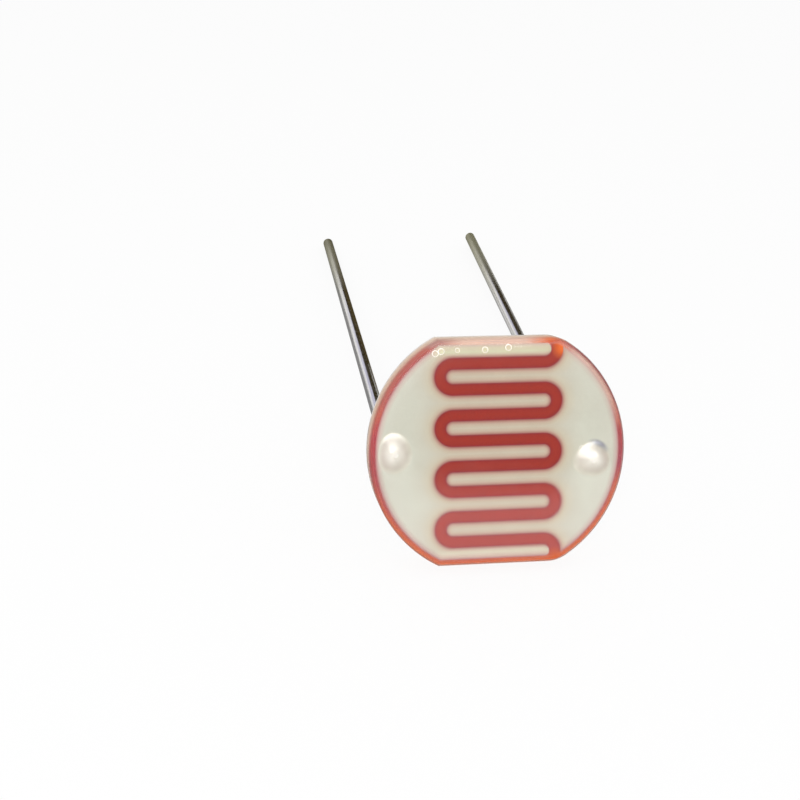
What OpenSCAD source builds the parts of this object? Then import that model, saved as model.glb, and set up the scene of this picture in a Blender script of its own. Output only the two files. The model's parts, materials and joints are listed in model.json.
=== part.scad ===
// Cadmium sulphide photoresistor: a ceramic disc with two flats, a red film, two metal combs that
// leave a winding gap of film between them, two wire leads and a clear resin coat.
// It lies as it comes to rest, on the lower back edge of the coat and on the tips of the leads.
// The face looks towards -Y and leans back, the leads run towards +Y, and +Z is up.
// The origin is at the middle of the part's box, on the surface that it lies on.

/* [Body] */
// Diameter over the clear coat
body_d = 12; // [10:0.1:15]
// Height across the two flats, over the clear coat
body_flats = 10.6; // [8.5:0.1:11.5]
// About the radius of the two right corners, where the flats run into the round rim
right_corner_r = 1.6; // [0.8:0.1:3]
// Thickness of the ceramic disc
substrate_t = 1.2; // [0.8:0.05:2]
// Thickness of the red film on the face and round the rim
film_t = 0.05; // [0.02:0.01:0.1]

/* [Clear coat] */
// Thickness of the coat over the metal combs
coat_front_t = 0.22; // [0.15:0.01:0.4]
// Thickness of the coat round the rim
coat_side_t = 0.12; // [0.1:0.01:0.3]
// Thickness of the coat behind the ceramic disc
coat_back_t = 0.15; // [0.12:0.01:0.4]
// Radius of the coat's front and back edges
coat_edge_r = 0.3; // [0.15:0.01:0.4]
// Thickness of the coat over the top of each contact
bump_cover_t = 0.15; // [0.08:0.01:0.3]
// Rim of coat round each contact, at the foot of its bump
bump_rim = 0.1; // [0.05:0.01:0.2]
// Height of the resin collar that climbs each lead
collar_h = 0.5; // [0.2:0.05:1]

/* [Combs] */
// Thickness of the metal combs
electrode_t = 0.03; // [0.02:0.01:0.06]
// Bare film between the combs' outline and the film's edge
electrode_margin = 0.17; // [0.1:0.01:0.4]
// Distance between two runs of the winding gap
gap_pitch = 1.19; // [0.9:0.01:1.5]
// Width of the winding gap
gap_w = 0.57; // [0.3:0.01:0.7]
// Distance from the rim of the body to the turns of the winding gap
gap_inset = 3; // [2.6:0.05:3.6]
// Least width of the metal strips above and below the winding gap
strip_min_w = 0.5; // [0.3:0.05:0.8]

/* [Contacts] */
// Diameter of the dot of paste over the end of each lead
contact_d = 1.5; // [1.1:0.05:1.9]
// Height of the dot above the metal comb
contact_h = 0.3; // [0.2:0.01:0.5]

/* [Leads] */
// Diameter of the wire
lead_d = 0.7; // [0.4:0.05:0.8]
// Distance from the rim of the body to a lead, before the shift
lead_inset = 1.35; // [1.2:0.01:1.6]
// How far both leads sit left of the middle
lead_shift = 0.17; // [0:0.01:0.2]
// How far the left lead sits above the middle
left_lead_lift = 0.2; // [-0.5:0.05:0.5]
// How far the right lead sits above the middle
right_lead_lift = -0.4; // [-0.5:0.05:0.5]
// How far the end of the wire reaches into the dot of paste
lead_end_h = 0.15; // [0.05:0.01:0.18]
// Gap round the wire in the disc, the film and the combs
lead_clearance = 0.05; // [0.02:0.01:0.1]
// Straight length of wire between the coat and the bend
lead_stub = 2; // [1.5:0.1:4]
// Radius of the bend, to the middle of the wire
lead_bend_r = 2; // [1:0.1:4]
// How much the wire swells in its bend, to each side
lead_bend_swell = 0.01; // [0.005:0.001:0.03]
// Straight length of wire from the bend to the tip
lead_run = 33.5; // [20:0.5:45]
// Height of the left tip above the middle of the disc, measured along the disc
left_tip_rise = 9.1; // [5:0.05:12]
// Height of the right tip above the middle of the disc, measured along the disc
right_tip_rise = 9.45; // [5:0.05:12]
// How far the left tip stands out to the left of its hole
left_tip_splay = 0.43; // [0:0.01:1.5]
// How far the right tip stands out to the right of its hole
right_tip_splay = 1.15; // [0:0.01:1.5]

/* [Hidden] */
$fn = 96;

// Spare length of a cutting shape past the solid that it cuts
cut_over = 1;
// How far the straight wire runs on inside the bend, where the swell still covers it
bend_lap = sqrt(lead_bend_r * lead_bend_swell) / 2;

// Body outline, and how far the outline of each layer lies inside it
body_r = body_d / 2;
body_half = body_flats / 2;
film_inset = coat_side_t;
substrate_inset = film_inset + film_t;
electrode_inset = film_inset + electrode_margin;
electrode_half = body_half - electrode_inset;

// End of each flat at the right, to a hundredth of a millimetre, and the corner's radius that fits it
flat_end_x = round(100 * sqrt((body_r - body_half) * (body_r + body_half - 2 * right_corner_r))) / 100;
corner_r = (body_r ^ 2 - body_half ^ 2 - flat_end_x ^ 2) / (2 * (body_r - body_half));

// Middle of the round corner at the upper right, the same for all layers
corner = [flat_end_x, body_half - corner_r];

// Levels of the layers above the back of the coat
substrate_z = coat_back_t;
film_z = substrate_z + substrate_t;
electrode_z = film_z + film_t;
contact_z = electrode_z + electrode_t;
body_t = contact_z + coat_front_t;
lead_end_z = contact_z + lead_end_h;

// Winding gap: an even count of runs, and the middles of the turns at their ends
run_pairs = floor(((electrode_half - strip_min_w - gap_w / 2) * 2 / gap_pitch + 1) / 2);
runs = 2 * run_pairs;
top_run_y = (runs - 1) * gap_pitch / 2;
turn_r = gap_pitch / 2;
turn_x = body_r - gap_inset - turn_r - gap_w / 2;
right_finger_ys = [for (i = [0 : run_pairs - 1]) top_run_y - turn_r - 2 * i * gap_pitch];
left_finger_ys = [for (i = [1 : run_pairs - 1]) top_run_y + turn_r - 2 * i * gap_pitch];

// Each lead: its hole, its tip, and how far the tip stands from the hole across the disc
left_hole = [-body_r + lead_inset - lead_shift, left_lead_lift];
right_hole = [body_r - lead_inset - lead_shift, right_lead_lift];
left_tip = [left_hole.x - left_tip_splay, left_tip_rise];
right_tip = [right_hole.x + right_tip_splay, right_tip_rise];
left_reach = left_tip - left_hole;
right_reach = right_tip - right_hole;

// Angle of the bend that takes a tip as far across the disc as reach says
function bend_angle(reach) =
    atan2(lead_bend_r, lead_run)
    + asin((norm(reach) - lead_bend_r) / norm([lead_run, lead_bend_r]));

// Depth of a tip behind the coat
function tip_depth(reach) =
    lead_stub + lead_bend_r * sin(bend_angle(reach)) + lead_run * cos(bend_angle(reach));

// Lean at which the lower back edge of the coat and a tip lie on one level
function lean_on_tip(tip, reach) =
    let (rise = tip.y + body_half - coat_edge_r, depth = tip_depth(reach) + coat_edge_r)
    atan2(rise, depth) + asin((coat_edge_r - lead_d / 2) / norm([rise, depth]));

lean = min(lean_on_tip(left_tip, left_reach), lean_on_tip(right_tip, right_reach));

// Farthest point of a tip towards +Y, once the disc leans
function tip_far_y(tip, reach) =
    let (
        bend = bend_angle(reach),
        along_y = sin(bend) * reach.y / norm(reach) * sin(lean) + cos(bend) * cos(lean)
    )
    tip.y * sin(lean) + tip_depth(reach) * cos(lean) + lead_d / 2 * sqrt(1 - along_y ^ 2);

// Box of the part, once the disc leans, and the move that puts its bottom middle at the origin
edge_y = coat_edge_r - body_half;
rest_z = edge_y * cos(lean) + coat_edge_r * sin(lean) - coat_edge_r;
near_y = edge_y * sin(lean) - (body_t - coat_edge_r) * cos(lean) - coat_edge_r;
far_y = max(tip_far_y(left_tip, left_reach), tip_far_y(right_tip, right_reach));
left_x = min(-body_r, left_tip.x - lead_d / 2);
right_x = max(body_r, right_tip.x + lead_d / 2);
to_rest = [-(left_x + right_x) / 2, -(near_y + far_y) / 2, -rest_z];

// Takes a piece from the disc's frame, with its face up and its leads down, to where it lies
module at_rest() {
    translate(to_rest) rotate([90 - lean, 0, 0]) children();
}

// Wedge of the outline at the upper right that the round corner fills
module corner_wedge() {
    polygon([corner, corner + [0, body_r], 2 * corner]);
}

// Disc outline with a flat above and below and round corners at the right, inset from the body's
module disc_outline(inset) {
    difference() {
        intersection() {
            circle(body_r - inset);
            square([body_d, body_flats - 2 * inset], center = true);
        }
        for (side = [0, 1]) mirror([0, side]) difference() {
            corner_wedge();
            translate(corner) circle(corner_r - inset);
        }
    }
}

// Disc with that outline, standing on the level z
module disc_plate(inset, z, t) {
    translate([0, 0, z]) linear_extrude(t) disc_outline(inset);
}

// Straight bore or wire for one lead, between two levels
module lead_bore(hole, from_z, to_z, d) {
    translate([hole.x, hole.y, from_z]) cylinder(h = to_z - from_z, d = d);
}

// Both lead holes, clear of the wire, through everything between two levels
module lead_holes(from_z, to_z) {
    for (hole = [left_hole, right_hole])
        lead_bore(hole, from_z, to_z, lead_d + 2 * lead_clearance);
}

// Cap of a ball with the given foot and height, standing on the level z
module ball_cap(hole, z, foot_d, h) {
    ball_r = (foot_d ^ 2 / 4 + h ^ 2) / (2 * h);
    translate([hole.x, hole.y, z]) intersection() {
        translate([0, 0, h - ball_r]) sphere(ball_r);
        cylinder(h = h + cut_over, d = foot_d + cut_over);
    }
}

// Strip from one end of the winding gap to the other, between two heights
module strip(from_x, to_x, from_y, to_y) {
    translate([from_x, from_y]) square([to_x - from_x, to_y - from_y]);
}

// Finger between two runs, with a round end at end_x
module finger(end_x, y, half) {
    strip(-turn_x, turn_x, y - half, y + half);
    translate([end_x, y]) circle(half);
}

// Round end of the metal strip above the gap, where the gap turns up to the rim, grown by grow
module strip_end(grow) {
    translate([turn_x, top_run_y + turn_r]) circle(turn_r + grow);
}

// Left comb: side, top and bottom strips, and the fingers that point right
module left_comb() {
    difference() {
        strip(-body_r, -turn_x, -body_r, body_r);
        for (y = right_finger_ys) translate([-turn_x, y]) circle(turn_r + gap_w / 2);
    }
    for (y = left_finger_ys) finger(turn_x, y, turn_r - gap_w / 2);
    for (side = [0, 1]) mirror([0, side]) {
        strip(-turn_x, turn_x, top_run_y + gap_w / 2, body_r);
        strip_end(-gap_w / 2);
    }
}

// Right comb: side, and the fingers that point left
module right_comb() {
    difference() {
        strip(turn_x, body_r, -body_r, body_r);
        for (y = left_finger_ys) translate([turn_x, y]) circle(turn_r + gap_w / 2);
        for (side = [0, 1]) mirror([0, side]) {
            strip_end(gap_w / 2);
            strip(turn_x, turn_x + turn_r + gap_w / 2, top_run_y + turn_r, body_r);
        }
    }
    for (y = right_finger_ys) finger(-turn_x, y, turn_r - gap_w / 2);
}

// Comb as a thin plate inside the combs' outline
module comb_plate() {
    translate([0, 0, electrode_z]) linear_extrude(electrode_t) intersection() {
        disc_outline(electrode_inset);
        children();
    }
}

// Dot of paste over the end of a lead
module contact(hole) {
    difference() {
        ball_cap(hole, contact_z, contact_d, contact_h);
        lead_bore(hole, contact_z - cut_over, lead_end_z, lead_d);
    }
}

// Wire from its end in the paste to the bend and on to the tip
module lead(hole, reach) {
    bend = bend_angle(reach);
    lead_bore(hole, -lead_stub - bend_lap, lead_end_z, lead_d);
    translate([hole.x, hole.y, -lead_stub]) rotate([0, 0, atan2(reach.y, reach.x)]) {
        translate([lead_bend_r, 0, 0]) rotate([90, 180, 0]) rotate_extrude(angle = bend)
            translate([lead_bend_r, 0]) circle(lead_d / 2 + lead_bend_swell);
        translate([lead_bend_r * (1 - cos(bend)), 0, -lead_bend_r * sin(bend)])
            rotate([0, 180 - bend, 0]) translate([0, 0, -bend_lap])
                cylinder(h = lead_run + bend_lap, d = lead_d);
    }
}

// Section of the coat, w wide to each side of the middle, with round edges
module coat_section(w) {
    strip(0, w - coat_edge_r, 0, body_t);
    strip(0, w, coat_edge_r, body_t - coat_edge_r);
    for (y = [coat_edge_r, body_t - coat_edge_r]) translate([w - coat_edge_r, y]) circle(coat_edge_r);
}

// Round puck of resin with round edges
module coat_puck(r) {
    rotate_extrude() intersection() {
        coat_section(r);
        strip(0, r, 0, body_t);
    }
}

// Slab of resin across the flats, with round edges
module coat_slab() {
    rotate([90, 0, 90]) linear_extrude(body_d + cut_over, center = true)
        for (side = [0, 1]) mirror([side, 0]) coat_section(body_half);
}

// Coat as if it were solid: a puck cut by a slab, with a small puck in each round corner
module coat_body() {
    difference() {
        intersection() {
            coat_puck(body_r);
            coat_slab();
        }
        for (side = [0, 1]) mirror([0, side, 0]) linear_extrude(body_t) corner_wedge();
    }
    for (side = [0, 1]) mirror([0, side, 0]) intersection() {
        linear_extrude(body_t) corner_wedge();
        translate(corner) coat_puck(corner_r);
    }
}

// Hollow-sided collar of resin that climbs a lead behind the coat
module collar(hole) {
    translate([hole.x, hole.y, 0]) rotate_extrude() difference() {
        strip(0, lead_d / 2 + collar_h, -collar_h, coat_back_t / 2);
        translate([lead_d / 2 + collar_h, -collar_h]) circle(collar_h);
    }
}

module ceramic_substrate() {
    color("whitesmoke") at_rest() difference() {
        disc_plate(substrate_inset, substrate_z, substrate_t);
        lead_holes(substrate_z - cut_over, film_z + cut_over);
    }
}

module photoconductive_film() {
    color([0.66, 0.2, 0.14]) at_rest() difference() {
        disc_plate(film_inset, substrate_z, substrate_t + film_t);
        disc_plate(substrate_inset, substrate_z - cut_over, substrate_t + cut_over);
        lead_holes(film_z - cut_over, electrode_z + cut_over);
    }
}

module left_electrode() {
    color([0.84, 0.83, 0.77]) at_rest() difference() {
        comb_plate() left_comb();
        lead_holes(electrode_z - cut_over, contact_z + cut_over);
    }
}

module right_electrode() {
    color([0.84, 0.83, 0.77]) at_rest() difference() {
        comb_plate() right_comb();
        lead_holes(electrode_z - cut_over, contact_z + cut_over);
    }
}

module left_contact() {
    color([0.92, 0.91, 0.88]) at_rest() contact(left_hole);
}

module right_contact() {
    color([0.92, 0.91, 0.88]) at_rest() contact(right_hole);
}

module left_lead() {
    color("silver") at_rest() lead(left_hole, left_reach);
}

module right_lead() {
    color("silver") at_rest() lead(right_hole, right_reach);
}

module clear_coat() {
    bump_h = contact_h + bump_cover_t - coat_front_t;
    color([0.93, 0.9, 0.84, 0.35]) at_rest() difference() {
        union() {
            coat_body();
            for (hole = [left_hole, right_hole]) {
                ball_cap(hole, body_t, contact_d + 2 * bump_rim, bump_h);
                collar(hole);
            }
        }
        disc_plate(film_inset, substrate_z, substrate_t + film_t);
        comb_plate() left_comb();
        comb_plate() right_comb();
        for (hole = [left_hole, right_hole]) {
            ball_cap(hole, contact_z, contact_d, contact_h);
            lead_bore(hole, -collar_h - cut_over, contact_z, lead_d);
        }
    }
}

ceramic_substrate();
photoconductive_film();
left_electrode();
right_electrode();
left_contact();
right_contact();
left_lead();
right_lead();
clear_coat();
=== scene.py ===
import json
from math import asin, atan2, cos, hypot, pi, radians, sin

import bmesh
import bpy
from mathutils import Matrix, Vector


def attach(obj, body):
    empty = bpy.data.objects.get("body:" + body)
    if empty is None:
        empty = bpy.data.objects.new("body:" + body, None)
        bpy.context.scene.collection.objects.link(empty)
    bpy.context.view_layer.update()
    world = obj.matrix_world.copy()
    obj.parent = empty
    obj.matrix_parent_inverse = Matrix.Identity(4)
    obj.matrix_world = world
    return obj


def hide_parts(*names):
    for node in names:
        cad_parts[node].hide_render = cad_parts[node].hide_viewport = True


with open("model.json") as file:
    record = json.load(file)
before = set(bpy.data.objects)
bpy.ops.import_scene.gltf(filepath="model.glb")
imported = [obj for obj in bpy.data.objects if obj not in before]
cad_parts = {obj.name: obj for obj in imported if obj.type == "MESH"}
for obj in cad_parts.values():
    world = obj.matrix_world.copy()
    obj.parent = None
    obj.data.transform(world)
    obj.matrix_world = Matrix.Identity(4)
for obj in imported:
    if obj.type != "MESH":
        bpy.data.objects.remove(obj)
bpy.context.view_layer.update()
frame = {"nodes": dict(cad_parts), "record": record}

MM = 0.001
MOUNTS = {mount["name"]: mount for mount in frame["record"]["mounts"]}

# Sizes of the part, in millimetres, as the solids have them
BODY_R = 6.0
FLAT_HALF = 5.3
CORNER_X = 2.38
CORNER_R = 1.604
COAT_EDGE_R = 0.3
BODY_T = 1.65
COMB_TOP_Z = 1.43
GAP_PITCH = 1.19
GAP_HALF = 0.285
TURN_X = 2.12
TOP_RUN_Y = 3.5 * GAP_PITCH
LEAD_R = MOUNTS["left_pin"]["dims"]["r_mm"]
COLLAR_H = 0.5
LEFT_HOLE = (-4.82, 0.2)
RIGHT_HOLE = (4.48, -0.4)

# Where the disc lies: the mount on its back points backwards and down
BACK_MIDDLE = Vector(MOUNTS["back_face"]["pos_m"])
LEAN = asin(-MOUNTS["back_face"]["axis"][2])
DISC_TURN = pi / 2 - LEAN
TO_REST = Matrix.Translation(BACK_MIDDLE) @ Matrix.Rotation(DISC_TURN, 4, "X") @ Matrix.Scale(MM, 4)
FACE_MIDDLE = TO_REST @ Vector((0, 0, COMB_TOP_Z))

# The straight runs of the wires, from the disc to the tips
LEFT_WIRE = Vector(MOUNTS["left_pin"]["axis"])
RIGHT_WIRE = Vector(MOUNTS["right_pin"]["axis"])

BLACK = (0, 0, 0, 1)
WHITE = (1, 1, 1, 1)


def srgb(r, g, b):
    """A colour written as 0 to 255 on screen, as the light values that a shader takes."""
    def light(c):
        c /= 255
        return c / 12.92 if c <= 0.04045 else ((c + 0.055) / 1.055) ** 2.4
    return (light(r), light(g), light(b), 1.0)


def grey(level):
    return (level, level, level, 1)


# Mesh helpers

def add_object(name, data):
    item = bpy.data.objects.new(name, data)
    bpy.context.scene.collection.objects.link(item)
    return item


def new_piece(name, bm, material):
    """A smooth object from a bmesh in the disc's millimetres, put where the disc lies."""
    bm.transform(TO_REST)
    mesh = bpy.data.meshes.new(name)
    bm.to_mesh(mesh)
    bm.free()
    mesh.shade_smooth()
    mesh.materials.append(material)
    return add_object(name, mesh)


def pairs_round(ring):
    """Each point of a closed ring with the next one."""
    return zip(ring, ring[1:] + ring[:1])


def bridge(bm, ring_a, ring_b):
    """Quads between two closed rings with as many points, ring_b to the inside or behind."""
    for (a, next_a), (b, next_b) in zip(pairs_round(ring_a), pairs_round(ring_b)):
        bm.faces.new((a, b, next_b, next_a))


def close_ring(bm, ring, tip):
    """Triangles from a closed ring to a tip."""
    for a, next_a in pairs_round(ring):
        bm.faces.new((a, next_a, tip))


def fill_between(bm, outer, holes):
    """Flat triangles between an outer ring and the rings of its holes."""
    edges = []
    for ring in [outer] + holes:
        for pair in pairs_round(ring):
            edges.append(bm.edges.get(pair) or bm.edges.new(pair))
    bmesh.ops.triangle_fill(bm, edges=edges, use_beauty=True, use_dissolve=False)


def quarter_turn(steps):
    """Angles from 0 to a right angle."""
    return [pi / 2 * k / steps for k in range(steps + 1)]


def arc(centre, r, start, end, steps):
    """Points along an arc, without its end."""
    angles = [start + (end - start) * i / steps for i in range(steps)]
    return [(centre[0] + r * cos(a), centre[1] + r * sin(a)) for a in angles]


def line(start, end, steps):
    """Points along a straight edge, without its end, closer together at both ends."""
    shares = [(1 - cos(pi * i / steps)) / 2 for i in range(steps)]
    return [Vector(start).lerp(Vector(end), share) for share in shares]


RIGHT_RIM_STEPS = 96
LEFT_RIM_STEPS = 108
CORNER_STEPS = 24
FLAT_STEPS = 32


def disc_ring(bm, inset, z):
    """Points round the disc at a height, from the lower end of the right rim, seen from the front."""
    r, half, corner_r = BODY_R - inset, FLAT_HALF - inset, CORNER_R - inset
    corner_y = FLAT_HALF - CORNER_R
    corner_a = atan2(corner_y, CORNER_X)
    left_a = asin(half / r)
    left_x = -r * cos(left_a)
    spots = arc((0, 0), r, -corner_a, corner_a, RIGHT_RIM_STEPS)
    spots += arc((CORNER_X, corner_y), corner_r, corner_a, pi / 2, CORNER_STEPS)
    spots += line((CORNER_X, half), (left_x, half), FLAT_STEPS)
    spots += arc((0, 0), r, pi - left_a, pi + left_a, LEFT_RIM_STEPS)
    spots += line((left_x, -half), (CORNER_X, -half), FLAT_STEPS)
    spots += arc((CORNER_X, -corner_y), corner_r, -pi / 2, -corner_a, CORNER_STEPS)
    return [bm.verts.new((*spot, z)) for spot in spots]


ROUND_STEPS = 64


def round_ring(bm, centre, radius_at, z):
    """A ring of points round a centre, with a radius for each direction."""
    ring = []
    for i in range(ROUND_STEPS):
        a = 2 * pi * i / ROUND_STEPS
        r = radius_at(a)
        ring.append(bm.verts.new((centre[0] + r * cos(a), centre[1] + r * sin(a), z)))
    return ring


# Dabs of paste over the ends of the wires: half sizes across and along the disc, where the top lies off the
# middle, height and unevenness
LEFT_DAB = {
    "middle": (-4.82, 0.12), "across": 0.76, "along": 0.95,
    "top": (-0.14, 0.02), "height": 0.36, "uneven": 0.03, "phase": 0.6,
}
RIGHT_DAB = {
    "middle": (4.42, -0.45), "across": 0.86, "along": 0.82,
    "top": (0.16, 0.06), "height": 0.34, "uneven": 0.05, "phase": 2.1,
}
DOME_SOFTNESS = 1.65
DAB_RINGS = 20

# The coat's bumps over the dabs, and the steps of its round edges
BUMP_RIM = 0.06
BUMP_COVER = 0.12
BUMP_RINGS = 28
EDGE_BAND = 0.03
EDGE_STEPS = 10
SIDE_STEPS = 4
COLLAR_STEPS = 12


def dab_radius(dab, grow):
    """The radius of a dab's foot in each direction, grown to the foot of the coat's bump over it."""
    def radius_at(a):
        across, along = dab["across"] + grow, dab["along"] + grow
        oval = across * along / hypot(along * cos(a), across * sin(a))
        return oval * (1 + dab["uneven"] * cos(3 * a + dab["phase"]))
    return radius_at


def soft_dome(reach):
    """Height of a dome as a share of its top, from 1 in the middle to 0 at its foot, with a soft foot."""
    return max(cos(pi / 2 * reach), 0.0) ** DOME_SOFTNESS


def dome_rings(bm, dab, grow, base_z, height, count):
    """Rings of a soft dome from its foot inwards, closed at its top; gives back the foot."""
    foot = dab_radius(dab, grow)
    middle, top_off = Vector(dab["middle"]), Vector(dab["top"])
    rings = []
    for k in range(count):
        reach = 1 - k / count
        z = base_z + height * soft_dome(reach)
        rings.append(round_ring(bm, middle + top_off * (1 - reach), lambda a: foot(a) * reach, z))
    for low, high in zip(rings, rings[1:]):
        bridge(bm, high, low)
    close_ring(bm, rings[-1], bm.verts.new((*(middle + top_off), base_z + height)))
    return rings[0]


def dab_mesh(dab):
    """A closed soft dome with a flat foot on the comb."""
    bm = bmesh.new()
    foot = dome_rings(bm, dab, 0.0, COMB_TOP_Z, dab["height"], DAB_RINGS)
    for edge in bm.faces.new(foot[::-1]).edges:
        edge.smooth = False
    bmesh.ops.recalc_face_normals(bm, faces=bm.faces)
    return bm


def coat_profile():
    """Inset from the rim and height of each ring of the coat's edge, from its face to its back."""
    turn = [(COAT_EDGE_R * (1 - cos(a)), COAT_EDGE_R * (1 - sin(a))) for a in quarter_turn(EDGE_STEPS)]
    front = [(inset, BODY_T - drop) for inset, drop in reversed(turn)]
    side_h = BODY_T - 2 * COAT_EDGE_R
    side = [(0.0, COAT_EDGE_R + side_h * (1 - k / SIDE_STEPS)) for k in range(1, SIDE_STEPS)]
    return front + side + turn


def collar(bm, hole):
    """A hollow-sided collar behind the coat round a wire; gives back its foot."""
    rings = []
    for a in quarter_turn(COLLAR_STEPS):
        r = LEAD_R + COLLAR_H * (1 - sin(a))
        rings.append(round_ring(bm, hole, lambda way: r, -COLLAR_H * (1 - cos(a))))
    for wide, narrow in zip(rings, rings[1:]):
        bridge(bm, wide, narrow)
    close_ring(bm, rings[-1][::-1], bm.verts.new((*hole, -COLLAR_H)))
    return rings[0]


def coat_mesh():
    """The outside of the resin coat: its face with a bump over each dab, its round edges and rim, and its
    back with a collar round each wire. The pieces that it seals lie inside."""
    bm = bmesh.new()
    rings = [disc_ring(bm, inset, z) for inset, z in coat_profile()]
    for front, back in zip(rings, rings[1:]):
        bridge(bm, front, back)
    # A narrow flat band inside the round edge keeps its shading off the face and the back
    face_ring = disc_ring(bm, COAT_EDGE_R + EDGE_BAND, BODY_T)
    back_ring = disc_ring(bm, COAT_EDGE_R + EDGE_BAND, 0.0)
    bridge(bm, face_ring, rings[0])
    bridge(bm, rings[-1], back_ring)
    feet = []
    for dab in (LEFT_DAB, RIGHT_DAB):
        bump_h = dab["height"] + BUMP_COVER - (BODY_T - COMB_TOP_Z)
        feet.append(dome_rings(bm, dab, BUMP_RIM, BODY_T, bump_h, BUMP_RINGS))
    fill_between(bm, face_ring, feet)
    fill_between(bm, back_ring, [collar(bm, hole) for hole in (LEFT_HOLE, RIGHT_HOLE)])
    bmesh.ops.recalc_face_normals(bm, faces=bm.faces)
    return bm


# Material helpers

class Nodes:
    """Short ways to add the nodes of one tree and to join them."""

    def __init__(self, tree):
        self.tree = tree

    def add(self, kind, **settings):
        node = self.tree.nodes.new(kind)
        for name, value in settings.items():
            setattr(node, name, value)
        return node

    def join(self, source, target):
        self.tree.links.new(source, target)

    def feed(self, socket, value):
        """Joins an output to a socket, or gives the socket a fixed value."""
        if isinstance(value, bpy.types.NodeSocket):
            self.join(value, socket)
        else:
            socket.default_value = value

    def math(self, operation, *values):
        node = self.add("ShaderNodeMath", operation=operation)
        for socket, value in zip(node.inputs, values):
            self.feed(socket, value)
        return node.outputs[0]

    def size_of(self, value):
        return self.math("ABSOLUTE", value)

    def hypot(self, a, b):
        squares = [self.math("POWER", self.size_of(side), 2.0) for side in (a, b)]
        return self.math("SQRT", self.math("ADD", *squares))

    def rescale(self, value, low, high, to_low, to_high, fade="LINEAR"):
        """Takes a value from one range to another, and no further."""
        step = self.add("ShaderNodeMapRange", interpolation_type=fade)
        numbers = {"Value": value, "From Min": low, "From Max": high, "To Min": to_low, "To Max": to_high}
        for name, number in numbers.items():
            self.feed(step.inputs[name], number)
        return step.outputs["Result"]

    def mask(self, value, start, end, top=1.0):
        """A mask that is 0 where the value is at its start and rises to its top at the end."""
        return self.rescale(value, start, end, 0.0, top)

    def both(self, a, b):
        """A mask where two masks meet, or a weaker mask."""
        return self.math("MULTIPLY", a, b)

    def mix(self, factor, a, b, blend="MIX"):
        """Mixes two colours."""
        mix = self.add("ShaderNodeMix", data_type="RGBA", blend_type=blend)
        for socket, value in ((mix.inputs[0], factor), (mix.inputs[6], a), (mix.inputs[7], b)):
            self.feed(socket, value)
        return mix.outputs[2]

    def tint(self, colour, tone):
        return self.mix(1.0, colour, tone, "MULTIPLY")

    def ramp(self, value, stops):
        """Colours along a value; stops are places from 0 to 1 with their colours."""
        ramp = self.add("ShaderNodeValToRGB")
        points = ramp.color_ramp.elements
        while len(points) < len(stops):
            points.new(1.0)
        for point, (place, colour) in zip(points, stops):
            point.position = place
            point.color = colour
        self.join(value, ramp.inputs["Fac"])
        return ramp.outputs["Color"]

    def noise(self, spot, scale, detail):
        grain = self.add("ShaderNodeTexNoise")
        for name, value in {"Vector": spot, "Scale": scale, "Detail": detail, "Roughness": 0.55}.items():
            self.feed(grain.inputs[name], value)
        return grain.outputs["Fac"]

    def parts(self, spot):
        split = self.add("ShaderNodeSeparateXYZ")
        self.join(spot, split.inputs[0])
        return split.outputs

    def spot_in(self, origin, turn, scale):
        """The place on the surface, measured from an origin along turned axes."""
        place = self.add("ShaderNodeTexCoord")
        axes = self.add("ShaderNodeMapping", vector_type="TEXTURE")
        values = {"Vector": place.outputs["Object"], "Location": origin, "Rotation": turn, "Scale": scale}
        for name, value in values.items():
            self.feed(axes.inputs[name], value)
        return axes.outputs["Vector"]

    def vector(self, operation, a, b):
        node = self.add("ShaderNodeVectorMath", operation=operation)
        self.feed(node.inputs[0], a)
        self.feed(node.inputs[1], b)
        return node.outputs

    def away_from(self, spot, place):
        """How far a spot is from a place on the disc, along its face."""
        on_face = self.vector("MULTIPLY", spot, (1, 1, 0))["Vector"]
        return self.vector("DISTANCE", on_face, place)["Value"]

    def seen_as_backdrop(self):
        """1 for rays that show the background: straight to the camera, by gloss or through glass."""
        rays = self.add("ShaderNodeLightPath").outputs
        by_eye_or_gloss = self.math("MAXIMUM", rays["Is Camera Ray"], rays["Is Glossy Ray"])
        return self.math("MAXIMUM", by_eye_or_gloss, rays["Is Transmission Ray"])


class Finish(Nodes):
    """A material with one main shader."""

    def __init__(self, name, kind="ShaderNodeBsdfPrincipled"):
        self.material = bpy.data.materials.new(name)
        self.material.use_nodes = True
        super().__init__(self.material.node_tree)
        self.tree.nodes.clear()
        self.out = self.add("ShaderNodeOutputMaterial")
        self.shader = self.add(kind)
        self.show(self.shader)

    def set(self, **values):
        """Joins or sets sockets of the shader; a name's spaces are written as underscores."""
        for name, value in values.items():
            self.feed(self.shader.inputs[name.replace("_", " ")], value)

    def show(self, shader):
        self.join(shader.outputs[0], self.out.inputs["Surface"])

    def show_mix(self, factor, other):
        """Shows the main shader where the factor is 0 and another one where it is 1."""
        mix = self.add("ShaderNodeMixShader")
        self.join(factor, mix.inputs["Fac"])
        self.join(self.shader.outputs[0], mix.inputs[1])
        self.join(other.outputs[0], mix.inputs[2])
        self.show(mix)

    def disc_spot(self):
        """The place on the disc, in millimetres: across, along and out of its face."""
        return self.spot_in(BACK_MIDDLE, (DISC_TURN, 0, 0), (MM, MM, MM))

    def bump(self, height, strength, depth):
        """Fine relief; its depth is in millimetres."""
        bump = self.add("ShaderNodeBump")
        for name, value in {"Height": height, "Strength": strength, "Distance": depth * MM}.items():
            self.feed(bump.inputs[name], value)
        self.set(Normal=bump.outputs["Normal"])

    def group(self, tree, spot):
        node = self.add("ShaderNodeGroup", node_tree=tree)
        self.join(spot, node.inputs["Spot"])
        return node.outputs


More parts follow.
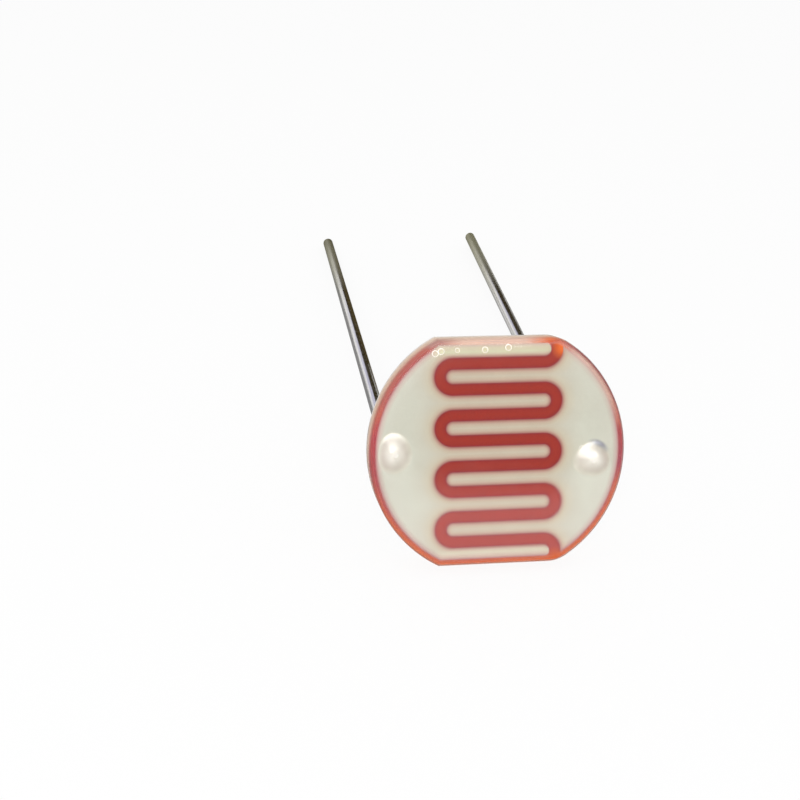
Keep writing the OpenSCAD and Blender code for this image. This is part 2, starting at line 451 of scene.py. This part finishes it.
def new_group(name, vectors, numbers, outputs):
    """A shader node group with vectors and numbers as inputs; gives back its nodes, inputs and outputs."""
    tree = bpy.data.node_groups.new(name, "ShaderNodeTree")
    for values, kind in ((vectors, "NodeSocketVector"), (numbers, "NodeSocketFloat")):
        for socket_name, value in values.items():
            socket = tree.interface.new_socket(socket_name, in_out="INPUT", socket_type=kind)
            socket.default_value = value
    for socket_name in outputs:
        tree.interface.new_socket(socket_name, in_out="OUTPUT", socket_type="NodeSocketFloat")
    nodes = Nodes(tree)
    return nodes, nodes.add("NodeGroupInput").outputs, nodes.add("NodeGroupOutput").inputs


def gap_and_rim_group():
    """Distances, in millimetres, from a spot on the disc to the middle of the winding gap and to the disc's
    rim, and a mask for the disc's upper right."""
    sizes = {
        "Pitch": GAP_PITCH, "Turn X": TURN_X, "Top Run": TOP_RUN_Y,
        "Body Radius": BODY_R, "Flat Half": FLAT_HALF,
    }
    outputs = ("Gap", "Rim", "Upper Right")
    g, given, result = new_group("gap_and_rim", {"Spot": (0, 0, 0)}, sizes, outputs)
    pitch, top_run = given["Pitch"], given["Top Run"]
    x, y, z = g.parts(given["Spot"])
    # The gap's middle line stays half a pitch from the middle line of the nearest finger, or from its end
    turn_r = g.math("MULTIPLY", pitch, 0.5)
    end_y = g.math("ADD", top_run, turn_r)
    level = g.math("MAXIMUM", g.math("MINIMUM", y, end_y), g.math("MULTIPLY", end_y, -1.0))
    past_turn = g.math("MAXIMUM", g.math("SUBTRACT", g.size_of(x), given["Turn X"]), 0.0)
    side = g.math("MULTIPLY", g.math("SIGN", x), turn_r)
    from_end = g.math("SUBTRACT", g.math("SUBTRACT", level, top_run), side)
    from_finger = g.math("WRAP", from_end, pitch, g.math("MULTIPLY", pitch, -1.0))
    reach = g.hypot(past_turn, from_finger)
    g.join(g.size_of(g.math("SUBTRACT", reach, turn_r)), result["Gap"])
    to_round = g.math("SUBTRACT", given["Body Radius"], g.hypot(x, y))
    to_flat = g.math("SUBTRACT", given["Flat Half"], g.size_of(y))
    g.join(g.math("MINIMUM", to_round, to_flat), result["Rim"])
    g.join(g.both(g.mask(x, 2.6, 3.6), g.mask(y, 0.9, 2.4)), result["Upper Right"])
    return g.tree


def dab_shadow_group():
    """A mask for a painted shadow: a curved dark arc at one side of a dab's foot."""
    places = {"Spot": (0, 0, 0), "Dab": (*RIGHT_DAB["middle"], 0), "Side": (4.8, 0.3, 0)}
    g, given, result = new_group("dab_painted_shadow", places, {"Strength": 0.85}, ("Painted Shadow",))
    out = g.away_from(given["Spot"], given["Dab"])
    band = g.both(g.mask(out, 0.6, 0.76), g.mask(out, 1.0, 0.86))
    near_side = g.mask(g.away_from(given["Spot"], given["Side"]), 0.6, 0.15)
    g.join(g.both(g.both(band, near_side), given["Strength"]), result["Painted Shadow"])
    return g.tree


GAP_AND_RIM = gap_and_rim_group()
# The painted shadow at the upper right of the right dab's foot, and its blue-grey tone
DAB_FOOT_SHADOW = dab_shadow_group()
DAB_SHADOW_TONE = srgb(138, 140, 158)
FINGER_SPAN = 1.5

# Where the gap runs out at the rim: place on the disc, tone of the film, and how far from the rim it starts
OUTLETS = [((2.95, 4.76, 0), srgb(234, 110, 32), 0.2), ((2.72, -5.1, 0), srgb(208, 88, 14), 0.0)]


def film_in_gap(f, near, y):
    """Brick red with a purple edge, a little lighter low down."""
    red = f.ramp(f.mask(near["Gap"], 0, GAP_HALF), [
        (0.0, srgb(166, 50, 36)),
        (0.6, srgb(162, 48, 38)),
        (0.85, srgb(147, 48, 52)),
        (1.0, srgb(176, 108, 106)),
    ])
    return f.mix(f.mask(y, -0.9, -2.2), red, f.tint(red, (1.16, 1.0, 1.0, 1)))


def film_on_rim(f, spot, near):
    """Orange-brown outside and purple red inside, more orange low down, duller beside the dabs, paler at the
    upper corners, and pale along the upper flat as a painted reflection of light from above."""
    x, y, z = f.parts(spot)
    rim = f.ramp(f.mask(near["Rim"], 0.1, 0.32), [
        (0.0, srgb(204, 96, 64)),
        (0.3, srgb(192, 82, 68)),
        (0.65, srgb(168, 68, 80)),
        (1.0, srgb(164, 78, 88)),
    ])
    patch = f.ramp(f.noise(spot, 0.45, 2), [(0.42, BLACK), (0.6, WHITE)])
    low_down = f.mix(f.mask(y, -1.0, -4.5, 0.8), patch, WHITE)
    rim = f.mix(low_down, rim, f.mix(0.65, rim, srgb(218, 114, 52)))
    rim = f.mix(f.mask(f.size_of(y), 2.4, 0.8, 0.75), rim, srgb(156, 62, 84))
    upper_right_tone = f.mix(f.mask(near["Rim"], 0.12, 0.22), srgb(150, 76, 84), srgb(208, 178, 164))
    rim = f.mix(f.both(near["Upper Right"], 0.85), rim, upper_right_tone)
    upper_left = f.both(f.mask(x, -2.4, -3.0, 0.85), f.mask(y, 0.9, 2.4))
    rim = f.mix(upper_left, rim, srgb(168, 94, 88))
    # Painted reflection: a pale band along the upper flat, pinkish grey at its left end, stands in for light
    # from above mirrored in the coat's top edge
    painted_top_reflection = f.both(f.mask(y, 4.8, 4.98, 0.92), f.mask(x, 2.4, 1.2))
    painted_top_reflection_tone = f.mix(f.mask(x, -2.7, -1.6), srgb(172, 128, 122), srgb(216, 186, 170))
    return f.mix(painted_top_reflection, rim, painted_top_reflection_tone)


def film_finish():
    """Sintered red film, orange where the gap runs out and cream where it thins out on the disc's side."""
    f = Finish("cds_film")
    spot = f.disc_spot()
    near = f.group(GAP_AND_RIM, spot)
    x, y, z = f.parts(spot)
    colour = f.mix(f.mask(near["Rim"], 0.36, 0.29), film_in_gap(f, near, y), film_on_rim(f, spot, near))
    for place, tone, start in OUTLETS:
        close = f.mask(f.away_from(spot, place), 0.55, 0.08, 0.95)
        colour = f.mix(f.both(close, f.mask(near["Rim"], start, start + 0.12)), colour, tone)
    colour = f.mix(f.mask(z, 1.25, 0.7, 0.85), colour, srgb(216, 192, 168))
    grain = f.noise(spot, 14, 4)
    f.set(
        Base_Color=f.tint(colour, f.ramp(grain, [(0.3, grey(0.9)), (0.7, grey(1.08))])),
        Roughness=f.rescale(grain, 0.2, 0.8, 0.55, 0.75),
        Specular_IOR_Level=0.12,
    )
    f.bump(f.noise(spot, 40, 2), 0.25, 0.01)
    return f.material


def comb_finish():
    """Matt evaporated metal, thin and pinkish where it feathers out towards the gap and the rim, with a
    painted shadow beside the right dab.
    """
    f = Finish("comb_metal")
    spot = f.disc_spot()
    near = f.group(GAP_AND_RIM, spot)
    x, y, z = f.parts(spot)
    colour = f.ramp(f.mask(near["Gap"], GAP_HALF, FINGER_SPAN), [
        (0.0, srgb(178, 122, 117)),
        (0.06, srgb(195, 162, 146)),
        (0.12, srgb(205, 190, 170)),
        (0.25, srgb(210, 205, 187)),
        (0.55, srgb(210, 209, 196)),
        (1.0, srgb(212, 213, 201)),
    ])
    strip = f.both(f.mask(f.size_of(y), 4.5, 4.72, 0.9), f.mask(f.size_of(x), 3.3, 2.6))
    strip_tone = f.mix(f.mask(y, -1, 1), srgb(218, 214, 194), srgb(214, 217, 187))
    colour = f.mix(strip, colour, strip_tone)
    by_rim = f.ramp(f.mask(near["Rim"], 0.29, 0.6), [(0.0, WHITE), (0.4, grey(0.35)), (1.0, BLACK)])
    thin = f.mix(f.mask(y, 4.7, 4.95), srgb(184, 116, 120), srgb(200, 178, 168))
    thin = f.mix(f.both(near["Upper Right"], 0.8), thin, srgb(206, 178, 166))
    colour = f.mix(by_rim, colour, thin)
    cloud = f.noise(spot, 0.9, 3)
    colour = f.tint(colour, f.ramp(cloud, [(0.3, (0.96, 0.95, 0.94, 1)), (0.7, grey(1.02))]))
    colour = f.tint(colour, f.ramp(f.noise(spot, 22, 3), [(0.35, grey(0.97)), (0.65, grey(1.02))]))
    f.set(
        # Painted shadow: a blue-grey arc beside the right dab's foot
        Base_Color=f.mix(f.group(DAB_FOOT_SHADOW, spot)["Painted Shadow"], colour, DAB_SHADOW_TONE),
        Metallic=0.35,
        Roughness=f.rescale(cloud, 0.3, 0.7, 0.5, 0.62),
        Specular_IOR_Level=0.2,
    )
    f.bump(f.noise(spot, 30, 2), 0.15, 0.01)
    return f.material


def paste_finish():
    """Metal-filled paste, the colour of the comb at its foot and paler towards its top as a painted
    highlight, with a soft shine and a painted shadow beside the right dab's foot.
    """
    f = Finish("contact_paste")
    spot = f.disc_spot()
    x, y, z = f.parts(spot)
    # Paler towards the dab's top: a painted highlight over the paste's own pale tone
    colour = f.ramp(f.mask(z, COMB_TOP_Z, COMB_TOP_Z + 0.3), [
        (0.0, srgb(216, 213, 200)),
        (0.35, srgb(218, 211, 201)),
        (1.0, srgb(238, 234, 226)),
    ])
    cloud = f.noise(spot, 2.2, 3)
    colour = f.tint(colour, f.ramp(cloud, [(0.3, (0.95, 0.95, 0.94, 1)), (0.7, grey(1.03))]))
    f.set(
        # Painted shadow: a blue-grey arc beside the right dab's foot
        Base_Color=f.mix(f.group(DAB_FOOT_SHADOW, spot)["Painted Shadow"], colour, DAB_SHADOW_TONE),
        Metallic=0.3,
        Roughness=f.rescale(cloud, 0.3, 0.7, 0.38, 0.5),
        Specular_IOR_Level=0.2,
    )
    f.bump(f.noise(spot, 9, 2), 0.1, 0.02)
    return f.material


def ceramic_finish():
    """Fired alumina, matt and faintly speckled."""
    f = Finish("ceramic")
    spot = f.disc_spot()
    speck = f.noise(spot, 9, 5)
    f.set(
        Base_Color=f.ramp(speck, [(0.3, srgb(231, 226, 214)), (0.7, srgb(243, 240, 232))]),
        Roughness=f.rescale(speck, 0.2, 0.8, 0.6, 0.8),
    )
    f.bump(f.noise(spot, 18, 3), 0.25, 0.02)
    return f.material


# Along a straight run of wire, in millimetres: where the tarnish starts and the tip
TARNISH_START = -14
WIRE_TIP = 19.5


def wire_finish(name, way, tip_tone):
    """Drawn and tinned wire: streaks along its length, a mottled skin and a dull olive tarnish to the tip."""
    f = Finish(name)
    spot = f.spot_in((0, 0, 0), Vector((0, 1, 0)).rotation_difference(way).to_euler(), (MM, MM, MM))
    x, along, z = f.parts(spot)
    stretch = f.add("ShaderNodeMapping")
    f.feed(stretch.inputs["Vector"], spot)
    f.feed(stretch.inputs["Scale"], (14, 0.35, 14))
    streak = f.noise(stretch.outputs["Vector"], 1.0, 3)
    tarnish = f.ramp(f.mask(along, TARNISH_START, WIRE_TIP), [
        (0.0, srgb(206, 204, 204)),
        (0.55, srgb(200, 198, 194)),
        (0.8, srgb(168, 165, 144)),
        (1.0, tip_tone),
    ])
    mottle = f.rescale(f.noise(spot, 2.2, 4), 0.3, 0.7, 0.15, 0.25)
    f.set(
        Base_Color=f.tint(tarnish, f.ramp(streak, [(0.3, (0.84, 0.84, 0.83, 1)), (0.7, grey(1.06))])),
        Metallic=f.rescale(along, 7, 17, 1.0, 0.45),
        Roughness=f.math("ADD", mottle, f.mask(along, 6, WIRE_TIP, 0.3)),
        Specular_IOR_Level=0.3,
    )
    f.bump(streak, 0.2, 0.01)
    return f.material


RESIN_IOR = 1.5
THIN_IOR = 1.14
UPPER_LEFT = (-0.5, 0.87, 0)
DAB_DULL = 0.28


def resin_finish():
    """Clear epoxy that lets lamps through to what it seals: glossy and faintly wavy on the face, satin over
    the dabs and round the edge."""
    f = Finish("clear_resin")
    spot = f.disc_spot()
    x, y, z = f.parts(spot)
    dull = f.rescale(f.noise(spot, 1.4, 2), 0.3, 0.7, 0.02, 0.06)
    for dab in (LEFT_DAB, RIGHT_DAB):
        over_dab = f.mask(f.away_from(spot, (*dab["middle"], 0)), 1.0, 0.1)
        dull = f.mix(over_dab, dull, grey(DAB_DULL))
    rim = f.group(GAP_AND_RIM, spot)["Rim"]
    edge_dull = f.rescale(rim, 0.2, 0.02, 0.2, 0.5)
    # The coat is thinnest where it turns over the upper left edge, and hardly bends light there
    near_edge = f.math(
        "MAXIMUM",
        f.mask(f.away_from(spot, (0, 0, 0)), BODY_R - 0.55, BODY_R - 0.34),
        f.mask(y, FLAT_HALF - 0.55, FLAT_HALF - 0.34),
    )
    thin = f.both(near_edge, f.mask(f.vector("DOT_PRODUCT", spot, UPPER_LEFT)["Value"], 1.5, 3.5))
    f.set(
        Base_Color=(0.99, 0.985, 0.97, 1),
        Roughness=f.mix(f.mask(rim, 0.6, 0.38), dull, edge_dull),
        IOR=f.rescale(thin, 0, 1, RESIN_IOR, THIN_IOR),
        Transmission_Weight=1.0,
    )
    f.bump(f.noise(spot, 0.8, 1), 0.015, 0.2)
    clear = f.add("ShaderNodeBsdfTransparent")
    f.feed(clear.inputs["Color"], (0.98, 0.975, 0.96, 1))
    f.show_mix(f.add("ShaderNodeLightPath").outputs["Is Shadow Ray"], clear)
    return f.material


def bubble_finish():
    """Skin of a bubble in the resin: shown round its edge and clear in its middle, with a painted glow that
    brightens its edge.
    """
    f = Finish("resin_bubble")
    edge = f.add("ShaderNodeLayerWeight")
    f.feed(edge.inputs["Blend"], 0.5)
    f.set(
        Base_Color=srgb(252, 250, 244),
        Roughness=0.15,
        Alpha=f.mask(edge.outputs["Facing"], 0.16, 0.38),
        # Painted glow: emission that stands in for the light reflected at the bubble's edge
        Emission_Color=(1, 1, 0.97, 1),
        Emission_Strength=0.35,
    )
    return f.material


# Bubbles in the coat above the top strip and by the right dab: place on the disc and radius, in millimetres
BUBBLES = [
    (-2.95, 4.66, 0.15), (-2.68, 4.75, 0.15), (-1.94, 4.79, 0.11), (-0.66, 4.79, 0.14), (0.42, 4.87, 0.15),
    (0.72, 4.9, 0.04), (0.86, 4.9, 0.03), (1.0, 4.91, 0.04), (1.16, 4.91, 0.03), (1.4, 4.92, 0.03),
    (3.92, 0.1, 0.13),
]
BUBBLE_Z = 1.54
BUBBLE_FLAT = 0.6


def bubbles_on_points_tree(material):
    """Geometry Nodes that put a flattened ball of its size on each point; the unit gives sizes in metres."""
    tree = bpy.data.node_groups.new("bubbles_on_points", "GeometryNodeTree")
    tree.interface.new_socket("Geometry", in_out="INPUT", socket_type="NodeSocketGeometry")
    tree.interface.new_socket("Unit", in_out="INPUT", socket_type="NodeSocketFloat")
    tree.interface.new_socket("Geometry", in_out="OUTPUT", socket_type="NodeSocketGeometry")
    n = Nodes(tree)
    given = n.add("NodeGroupInput").outputs
    size = n.add("GeometryNodeInputNamedAttribute", data_type="FLOAT")
    n.feed(size.inputs["Name"], "size")
    ball = n.add("GeometryNodeMeshIcoSphere")
    n.feed(ball.inputs["Radius"], 1.0)
    n.feed(ball.inputs["Subdivisions"], 4)
    flatten = n.add("GeometryNodeTransform")
    n.feed(flatten.inputs["Geometry"], ball.outputs["Mesh"])
    n.feed(flatten.inputs["Scale"], (1, 1, BUBBLE_FLAT))
    n.feed(flatten.inputs["Rotation"], (DISC_TURN, 0, 0))
    place = n.add("GeometryNodeInstanceOnPoints")
    n.feed(place.inputs["Points"], given["Geometry"])
    n.feed(place.inputs["Instance"], flatten.outputs[0])
    n.feed(place.inputs["Scale"], n.math("MULTIPLY", size.outputs[0], given["Unit"]))
    realize = n.add("GeometryNodeRealizeInstances")
    smooth = n.add("GeometryNodeSetShadeSmooth")
    paint = n.add("GeometryNodeSetMaterial")
    n.feed(paint.inputs["Material"], material)
    result = n.add("NodeGroupOutput")
    for source, target in ((place, realize), (realize, smooth), (smooth, paint), (paint, result)):
        n.join(source.outputs[0], target.inputs[0])
    return tree


def bubble_piece(material):
    """Small bubbles on chosen points, made by Geometry Nodes and turned into one plain mesh."""
    points = bpy.data.meshes.new("bubble_points")
    points.from_pydata([TO_REST @ Vector((x, y, BUBBLE_Z)) for x, y, r in BUBBLES], [], [])
    sizes = points.attributes.new("size", "FLOAT", "POINT")
    for item, (x, y, r) in zip(sizes.data, BUBBLES):
        item.value = r
    seed = add_object("bubble_points", points)
    modifier = seed.modifiers.new("bubbles", "NODES")
    modifier.node_group = bubbles_on_points_tree(material)
    unit = modifier.node_group.interface.items_tree["Unit"]
    modifier[unit.identifier] = MM
    made = seed.evaluated_get(bpy.context.evaluated_depsgraph_get())
    mesh = bpy.data.meshes.new_from_object(made)
    bpy.data.objects.remove(seed)
    return add_object("coat_bubbles", mesh)


# Pieces

def paint_node(node, material):
    node_mesh = frame["nodes"][node].data
    node_mesh.materials.clear()
    node_mesh.materials.append(material)


combs = comb_finish()
paste = paste_finish()
resin = resin_finish()
paint_node("ceramic_substrate", ceramic_finish())
paint_node("photoconductive_film", film_finish())
paint_node("left_electrode", combs)
paint_node("right_electrode", combs)
paint_node("left_lead", wire_finish("tinned_wire_left", LEFT_WIRE, srgb(116, 112, 82)))
paint_node("right_lead", wire_finish("tinned_wire_right", RIGHT_WIRE, srgb(136, 133, 102)))

for name, dab in (("left_contact", LEFT_DAB), ("right_contact", RIGHT_DAB)):
    piece = new_piece(name + "_dab", dab_mesh(dab), paste)
    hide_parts(name)
    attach(piece, "root")

coat = new_piece("coat_skin", coat_mesh(), resin)
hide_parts("clear_coat")
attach(coat, "root")

bubbles = bubble_piece(bubble_finish())
bubbles.visible_shadow = False
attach(bubbles, "root")


# Camera at the photograph's angle, about 30 degrees above and 8 degrees left of the part's middle line

CAMERA_PLACE = Vector((-11.04211, -60.20427, 33.61686))
CAMERA_TURN = (59.59986, -2.3197, -7.09733)
CAMERA_LENS = 50.85


def place_camera():
    data = bpy.data.cameras.new("camera")
    data.sensor_width = 36
    data.lens = CAMERA_LENS
    data.clip_start = 0.001
    camera = add_object("camera", data)
    camera.location = CAMERA_PLACE * MM
    camera.rotation_euler = [radians(a) for a in CAMERA_TURN]
    bpy.context.scene.camera = camera


# Floor, world and lamp

AMBIENT = 0.72
FLOOR_HALF = 1.0
FLOOR_GLOW = 0.88


def four_corners(name, corners, finish):
    """A flat four-cornered piece of the studio, corners in metres."""
    mesh = bpy.data.meshes.new(name)
    mesh.from_pydata(corners, [], [(0, 1, 2, 3)])
    mesh.materials.append(finish.material)
    piece = add_object(name, mesh)
    return piece


def make_floor():
    """White paper that mostly glows to the eye, and still takes the part's shadow."""
    f = Finish("floor_white", "ShaderNodeBsdfDiffuse")
    f.set(Color=grey(0.95))
    f.show_mix(f.math("MULTIPLY", f.seen_as_backdrop(), FLOOR_GLOW), f.add("ShaderNodeEmission"))
    half = FLOOR_HALF
    four_corners("floor", [(-half, -half, 0), (half, -half, 0), (half, half, 0), (-half, half, 0)], f)


def make_world():
    """White to look at and a little darker as a light."""
    world = bpy.data.worlds.new("studio")
    world.use_nodes = True
    bpy.context.scene.world = world
    n = Nodes(world.node_tree)
    n.tree.nodes.clear()
    back = n.add("ShaderNodeBackground")
    n.feed(back.inputs["Color"], WHITE)
    n.feed(back.inputs["Strength"], n.rescale(n.seen_as_backdrop(), 0, 1, AMBIENT, 1.0))
    n.join(back.outputs[0], n.add("ShaderNodeOutputWorld").inputs["Surface"])


def softbox(name, way, distance, size, radiance):
    """A square soft lamp that looks at the face's middle from a direction; lengths in millimetres."""
    data = bpy.data.lights.new(name, "AREA")
    data.shape = "SQUARE"
    data.size = size * MM
    data.energy = radiance * pi * data.size ** 2
    lamp = add_object(name, data)
    way = Vector(way).normalized()
    turn = way.to_track_quat("Z", "Y").to_matrix().to_4x4()
    lamp.matrix_world = Matrix.Translation(FACE_MIDDLE + way * distance * MM) @ turn
    lamp.visible_camera = False
    lamp.visible_glossy = False
    lamp.visible_transmission = False


# Studio cards, which only reflections show. Corners and lengths are in millimetres

CARD_LIFT = 0.05


def add_card(name, corners, finish):
    card = four_corners(name, [Vector(corner) * MM for corner in corners], finish)
    for ray in ("camera", "diffuse", "transmission", "volume_scatter", "shadow"):
        setattr(card, "visible_" + ray, False)


def even_card(name, corners, tone, tint=WHITE, one_way=False):
    """A card of one tone: dark to keep the white room out of a reflection, or pale to put light into one. A
    one-way card lets reflections through from behind."""
    f = Finish(name, "ShaderNodeEmission")
    f.set(Strength=tone, Color=tint)
    if one_way:
        behind = f.add("ShaderNodeNewGeometry").outputs["Backfacing"]
        f.show_mix(behind, f.add("ShaderNodeBsdfTransparent"))
    add_card(name, corners, f)


def graded_card(name, corners, low_tone, high_tone):
    """An upright card whose tone changes softly from its lower to its upper edge."""
    f = Finish(name, "ShaderNodeEmission")
    heights = [z for x, y, z in corners]
    x, y, z = f.parts(f.spot_in((0, 0, 0), (0, 0, 0), (MM, MM, MM)))
    f.set(Strength=f.rescale(z, min(heights), max(heights), low_tone, high_tone, "SMOOTHSTEP"))
    add_card(name, corners, f)


def soft_glow(name, way, distance, across, up, peak):
    """An oval glow, brightest in its middle, that looks at the face from a direction; across and up are half
    sizes."""
    way = Vector(way).normalized()
    middle = FACE_MIDDLE / MM + way * distance
    side = Vector((0, 0, 1)).cross(way).normalized()
    rise = way.cross(side)
    f = Finish(name, "ShaderNodeEmission")
    turn = Matrix((side, rise, way)).transposed().to_euler()
    spot = f.spot_in(middle * MM, turn, (across * MM, up * MM, MM))
    f.set(Strength=f.rescale(f.vector("LENGTH", spot, (0, 0, 0))["Value"], 1, 0, 0, peak, "SMOOTHSTEP"))
    # The glow is added to what lies behind the card, so that its corners don't show
    both = f.add("ShaderNodeAddShader")
    f.join(f.shader.outputs[0], both.inputs[0])
    f.join(f.add("ShaderNodeBsdfTransparent").outputs[0], both.inputs[1])
    f.show(both)
    corners = [middle + side * across * i + rise * up * j for i, j in ((-1, -1), (1, -1), (1, 1), (-1, 1))]
    add_card(name, corners, f)


def upright(start, end, low, high):
    """Corners of an upright card between two places on the floor and two heights."""
    return [(*start, low), (*end, low), (*end, high), (*start, high)]


def on_floor(left_at, right_at, near, far):
    """Corners of a card just above the floor, whose sides are functions of the length along the floor."""
    corners = ((left_at, near), (right_at, near), (right_at, far), (left_at, far))
    return [(side_at(y), y, CARD_LIFT) for side_at, y in corners]


def under(pin, off=0.0):
    """The place across the floor under the middle of a straight wire, or beside it, by the length."""
    middle, way = Vector(MOUNTS[pin]["pos_m"]) / MM, Vector(MOUNTS[pin]["axis"])
    return lambda y: middle.x + (y - middle.y) * way.x / way.y + off


def straight(x):
    """A place across the floor that stays the same along it."""
    return lambda y: x


KEY_WAY = (-0.23, -0.78, 0.59)
GLOW_WAY = (0.0, -0.8, 0.6)
DARK = 0.22
PALE = 1.9
BROWN = (1.0, 0.75, 0.3, 1)
BLUISH = (0.92, 0.92, 1.15, 1)
FRONT_LEFT, FRONT_RIGHT = (-30.0, -300.0), (260.0, -300.0)
BACK_LEFT, BACK_INNER, BACK_RIGHT = (-110.0, 150.0), (-7.0, 150.0), (260.0, 150.0)
FADE_LOW, FADE_HIGH = 33, 52
WIRE_NEAR, WIRE_FAR = -13.0, 26.0

place_camera()
make_floor()
make_world()
softbox("key", KEY_WAY, distance=200, size=80, radiance=9.4)
soft_glow("high_glow", GLOW_WAY, distance=195, across=170, up=84, peak=13.0)
even_card("front_low_card", upright(FRONT_LEFT, FRONT_RIGHT, 2, FADE_LOW), PALE)
graded_card("front_fade_card", upright(FRONT_LEFT, FRONT_RIGHT, FADE_LOW, FADE_HIGH), PALE, DARK)
even_card("front_dark_card", upright(FRONT_LEFT, FRONT_RIGHT, FADE_HIGH, 190), DARK)
even_card("right_dark_card", upright(FRONT_RIGHT, BACK_RIGHT, 0.1, 200), DARK)
even_card("back_dark_card", upright(BACK_RIGHT, BACK_INNER, 0.1, 110), 0.05, BROWN)
even_card("back_pale_card", upright(BACK_INNER, BACK_LEFT, 12, 36), 1.35)
even_card("back_grey_card", upright(BACK_INNER, BACK_LEFT, 36, 110), 0.85, BLUISH)
even_card("left_floor_card", on_floor(straight(-90), under("left_pin"), -12, 130), 0.33)
beside_left = under("left_pin", 1.1)
beside_near, beside_far = (beside_left(WIRE_NEAR), WIRE_NEAR), (beside_left(WIRE_FAR), WIRE_FAR)
even_card("between_dark_card", upright(beside_far, beside_near, 0.06, 3.4), 0.09, BROWN, one_way=True)
even_card("middle_floor_card", on_floor(under("right_pin", -2.6), under("right_pin"), -12, WIRE_FAR), 0.5)
even_card("right_floor_card", on_floor(under("right_pin"), straight(90), 6, 20), 0.06, BROWN)

scene = bpy.context.scene
scene.view_settings.view_transform = "Standard"
